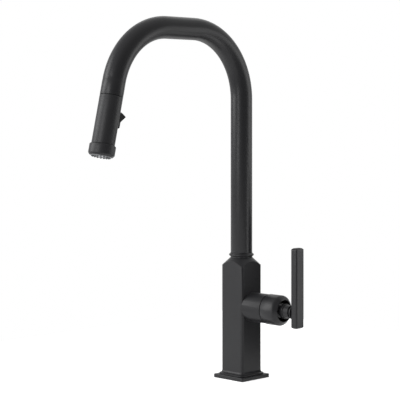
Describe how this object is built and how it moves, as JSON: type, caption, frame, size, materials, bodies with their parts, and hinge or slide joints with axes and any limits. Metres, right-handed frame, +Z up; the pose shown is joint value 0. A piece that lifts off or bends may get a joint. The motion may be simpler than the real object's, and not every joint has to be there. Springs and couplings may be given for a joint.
{
  "type": "kitchen faucet",
  "caption": "Matte black single-lever kitchen faucet with a square column, a bent swivel spout, a pull-down spray wand on a hose and a side lever.",
  "frame": {"origin": "on the column's axis in the plane of the deck, at the underside of the base plate", "axes": "+Z up, -Y to the front where the spout reaches, +X to the lever's side"},
  "size_m": [0.1285, 0.2855, 0.5167],
  "materials": {
    "black_satin": "satin",
    "black_satin_tube": "satin",
    "black_satin_plastic": "satin",
    "black_plastic": "matte",
    "white_plastic": "matte",
    "grey_plastic": "satin",
    "soft_rubber": "matte",
    "button_rubber": "matte",
    "nozzle_rubber": "matte",
    "hose_braid": "woven",
    "brass": "machined",
    "steel": "brushed",
    "dark_steel": "black oxide",
    "magnet": "plated"
  },
  "bodies": {
    "base": {"base_plate": "black_satin", "deck_gasket": "soft_rubber", "column": "black_satin", "shank": "brass", "rubber_washer": "soft_rubber", "steel_washer": "steel", "mounting_nut": "brass", "jack_screws": "steel", "spout_screw": "dark_steel", "cartridge": "white_plastic", "cartridge_nut": "brass", "bonnet": "black_satin"},
    "temperature_rotor": {"temp_rotor": "black_plastic", "tilt_pin": "steel"},
    "lever": {"stem": "brass", "lever_hub": "black_satin", "lever_bar": "black_satin", "lever_screw": "dark_steel"},
    "spout": {"spigot": "brass", "spigot_rings": "soft_rubber", "glide_washer": "white_plastic", "bead_ring": "black_satin", "spout_tube": "black_satin_tube", "dock_guide": "black_plastic", "dock_magnet": "magnet", "spray_hose": "hose_braid"},
    "hose_end": {"hose_ferrule": "steel", "hose_nipple": "brass"},
    "wand": {"hose_nut": "brass", "wand_core": "black_plastic", "dock_ring": "steel", "wand_shell": "black_satin_plastic", "diverter": "white_plastic", "rocker_pin": "steel", "nose_ring": "black_satin_plastic", "spray_face": "grey_plastic", "nozzle_mat": "nozzle_rubber", "aerator": "grey_plastic"},
    "rocker": {"rocker": "button_rubber"}
  },
  "joints": [
    {"name": "spout_swivel", "type": "hinge", "parent": "base", "child": "spout", "pos_m": [0, 0, 0.1584], "axis": [0, 0, 1], "continuous": true},
    {"name": "wand_pull", "type": "slide", "parent": "spout", "child": "hose_end", "axis": [0, -0.225, -0.9744], "range_m": [0, 0.28], "stiffness_N_per_m": 6, "springref_m": -0.8, "deforming": ["spray_hose"]},
    {"name": "wand_turn", "type": "hinge", "parent": "hose_end", "child": "wand", "pos_m": [0, -0.22763, 0.36857], "axis": [0, 0.225, 0.9744], "continuous": true},
    {"name": "rocker_tilt", "type": "hinge", "parent": "wand", "child": "rocker", "pos_m": [0, -0.22572, 0.34041], "axis": [1, 0, 0], "range_deg": [0, 7]},
    {"name": "lever_temperature", "type": "hinge", "parent": "base", "child": "temperature_rotor", "pos_m": [0.07, 0, 0.0943], "axis": [1, 0, 0], "range_deg": [-45, 45]},
    {"name": "lever_flow", "type": "hinge", "parent": "temperature_rotor", "child": "lever", "pos_m": [0.07, 0, 0.0943], "axis": [0, 1, 0], "range_deg": [0, 20]}
  ]
}
